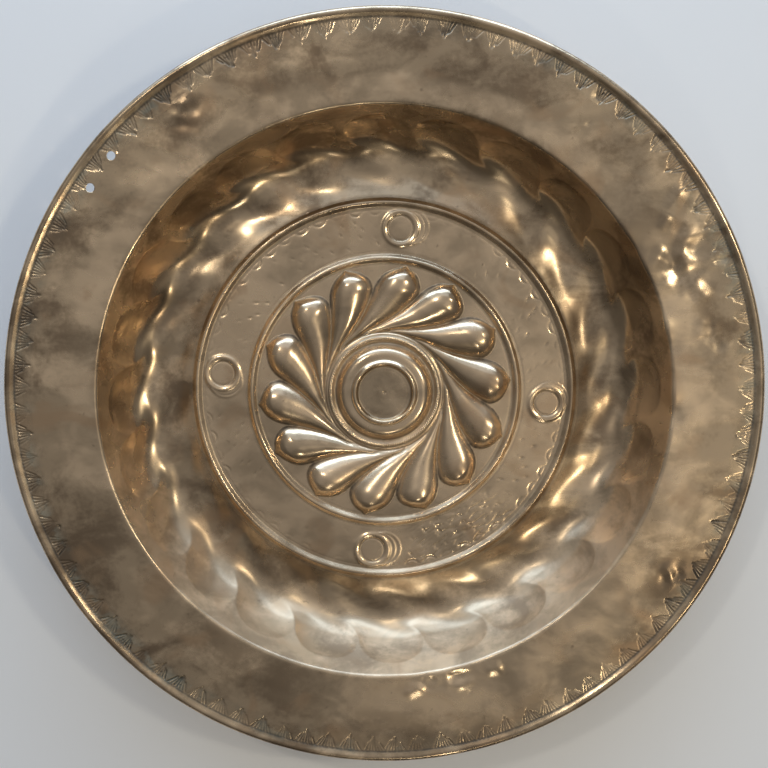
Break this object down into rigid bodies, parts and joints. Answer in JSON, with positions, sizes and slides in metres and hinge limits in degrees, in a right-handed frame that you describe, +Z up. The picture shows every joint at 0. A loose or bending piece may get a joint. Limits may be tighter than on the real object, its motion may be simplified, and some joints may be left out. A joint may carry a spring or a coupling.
{
  "type": "alms dish",
  "caption": "Deep round hammered brass dish with a wide rim, a fluted well, a whirling lobed rosette round a raised boss, and an edge rolled over wire.",
  "frame": {"origin": "middle of the dish, on the plane that its trough rests on", "axes": "+Z up out of the well; +X and +Y across the rim, with the two hanging holes near the rim's edge at about 138 and 144 degrees from +X towards +Y"},
  "size_m": [0.4199, 0.42, 0.042],
  "materials": {
    "brass": "old hand-polished brass with brown patina in the hollows",
    "iron": "dark oxidised iron wire"
  },
  "bodies": {
    "root": {"dish_sheet": "brass", "edge_wire": "iron"}
  },
  "joints": []
}
